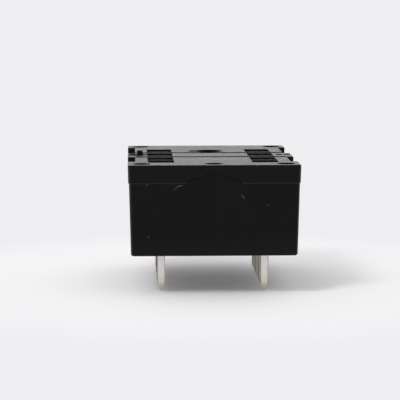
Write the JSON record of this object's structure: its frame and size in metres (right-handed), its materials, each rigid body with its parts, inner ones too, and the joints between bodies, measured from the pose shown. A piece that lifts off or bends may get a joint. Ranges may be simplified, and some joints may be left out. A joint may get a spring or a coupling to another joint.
{
  "type": "relay socket",
  "caption": "Low rectangular black circuit-board socket with two columns of blade slots over spring contacts, and straight pointed solder tails below.",
  "frame": {"origin": "middle of the underside, on the plane that sits on the circuit board; the solder tails reach below it", "axes": "+Z out of the top face towards the relay, +Y along the terminal columns towards the coil end, X across the two columns"},
  "size_m": [0.0216, 0.0284, 0.0171],
  "materials": {
    "moulded_cover": "black moulded thermoplastic, satin to semi-gloss on the top face",
    "moulded_housing": "black moulded thermoplastic, fine satin",
    "tinned_strip": "tin plate over brass strip, satin, slightly yellowed near the points"
  },
  "bodies": {
    "root": {"cover": "moulded_cover", "housing": "moulded_housing", "contact_nc_left": "tinned_strip", "contact_nc_right": "tinned_strip", "contact_no_left": "tinned_strip", "contact_no_right": "tinned_strip", "contact_common_left": "tinned_strip", "contact_common_right": "tinned_strip", "contact_coil_left": "tinned_strip", "contact_coil_right": "tinned_strip"}
  },
  "joints": []
}
